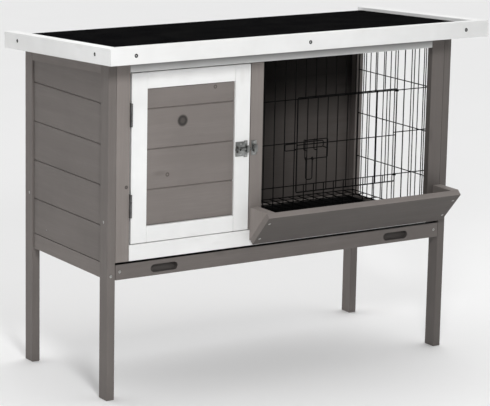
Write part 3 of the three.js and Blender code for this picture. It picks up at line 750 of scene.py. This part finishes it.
def wire_bolt_wires():
    """The hairpin behind the door, the stud through it and the grip frame in front."""
    low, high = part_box("wire_bolt")
    back, front = high.y - WIRE_RADIUS, low.y + WIRE_RADIUS
    right = high.x - WIRE_RADIUS

    def build(shape):
        wire(shape, hairpin(low.x, right, back, 5 * MM))
        wire(shape, [(right, front, BOLT_ROWS[0]), (right, back, BOLT_ROWS[0])])
        grip = [(GRIP["left"], front, GRIP["bottom"]), (right, front, GRIP["bottom"]),
                (right, front, GRIP["top"]), (GRIP["left"], front, GRIP["top"])]
        wire(shape, bent(grip, 3 * MM, closed=True), closed=True)
    wire_piece("wire_bolt", build)


def bolt_handle_wires():
    """The loop that hangs from the grip frame by two eyes."""
    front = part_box("wire_bolt")[0].y + WIRE_RADIUS
    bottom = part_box("wire_bolt_handle")[0].z + WIRE_RADIUS
    top = GRIP["bottom"] - HANDLE["below"]
    left, right = HANDLE["legs"]

    def build(shape):
        for x in HANDLE["legs"]:
            wire(shape, eye(x, front, GRIP["bottom"]), sides=8, closed=True)
        loop = [(left, front, top), (left, front, bottom), (right, front, bottom), (right, front, top)]
        wire(shape, bent(loop, 5 * MM))
    wire_piece("wire_bolt_handle", build)


def bolt_bearing_wires():
    """The bent rod that the bolt slides into."""
    near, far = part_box("bolt_bearing")
    path = hairpin(far.x, near.x + WIRE_RADIUS, (near.y + far.y) / 2, 3 * MM)
    wire_piece("bolt_bearing", lambda shape: wire(shape, path))


# ---------------------------------------------------------------- other metal and the felt
def metal_fittings():
    for node, slot in SLOT_OF.items():
        if slot in ("black_iron", "zinc"):
            softened(node, 0.25 * MM)
    for node in ("tray_pan", "roof_felt"):
        softened(node, 0.4 * MM)


def latch_screws():
    keeper = [(-80, -177.7, z) for z in (478, 501)]
    frame_screws_on(TO_FRONT, 2.2, *keeper)
    plate = [(-99.8, -177.9, z) for z in (475.5, 503)] + [(-112, -177.7, z) for z in (479, 500)]
    screws_on("main_door", "zinc", TO_FRONT, 2.2, *plate)


# ---------------------------------------------------------------- light, floor and camera
DOME = {"front": grey(0.06), "back": grey(0.98), "strength": 1.5}  # a soft white sweep behind the hutch
BEHIND = (0.545, 0.838, 0.0)  # towards the bright side of the dome
KEY = {"place": (-0.95, -1.9, 1.6), "aim": (0, 0, 0.5), "size": 0.5, "power": 27}
CAMERA = {"place": (-2.6375, -4.0781 + DEPTH_SHIFT, 1.4126), "lens": 171, "azimuth": 33.05,
          "pitch": 12.56, "roll": 1.165}


def floor():
    bpy.ops.mesh.primitive_plane_add(size=40)
    ground = bpy.context.object
    ground.name = "studio_floor"
    material, tree, shader = new_material("studio_floor")
    tone = mixed(tree, noise(tree, coordinates(tree), 3), grey(0.90), grey(0.92))
    tree.links.new(tone, shader.inputs["Base Color"])
    shader.inputs["Roughness"].default_value = 0.9
    ground.data.materials.append(material)


def dome_light():
    """A world that brightens from the camera's side to the far side."""
    world = bpy.data.worlds.new("studio")
    bpy.context.scene.world = world
    world.use_nodes = True
    tree = world.node_tree
    background = tree.nodes["Background"]
    outward = add(tree, "ShaderNodeTexCoord").outputs["Generated"]
    along = add(tree, "ShaderNodeVectorMath", {0: outward, 1: BEHIND}, operation="DOT_PRODUCT")
    spread = mapped(tree, along.outputs["Value"], -0.6, 0.4)
    tree.links.new(ramp(tree, spread, 0.0, 1.0, DOME["front"], DOME["back"]), background.inputs["Color"])
    background.inputs["Strength"].default_value = DOME["strength"]


def key_light():
    data = bpy.data.lights.new("key", "AREA")
    data.shape = "DISK"
    data.size = KEY["size"]
    data.energy = KEY["power"]
    lamp = in_scene("key", data)
    lamp.location = KEY["place"]
    ray = Vector(KEY["aim"]) - Vector(KEY["place"])
    lamp.rotation_euler = ray.to_track_quat("-Z", "Y").to_euler()


def camera():
    data = bpy.data.cameras.new("camera")
    data.sensor_width = 36
    data.lens = CAMERA["lens"]
    data.clip_end = 100
    azimuth, pitch, roll = (math.radians(CAMERA[angle]) for angle in ("azimuth", "pitch", "roll"))
    level = Vector((math.cos(azimuth), -math.sin(azimuth), 0))
    ahead = Vector((math.sin(azimuth) * math.cos(pitch), math.cos(azimuth) * math.cos(pitch),
                    -math.sin(pitch)))
    upright = level.cross(ahead)
    right = math.cos(roll) * level + math.sin(roll) * upright
    up = math.cos(roll) * upright - math.sin(roll) * level
    turn = Matrix((right, up, -ahead)).transposed().to_4x4()
    view = in_scene("camera", data)
    view.matrix_world = Matrix.Translation(CAMERA["place"]) @ turn
    bpy.context.scene.camera = view


all_timber()
front_panel_wires()
wire_door_wires()
side_panel_wires()
floor_wires()
wire_bolt_wires()
bolt_handle_wires()
bolt_bearing_wires()
metal_fittings()
latch_screws()
make_screws()
floor()
dome_light()
key_light()
camera()
bpy.context.scene.view_settings.view_transform = "Standard"
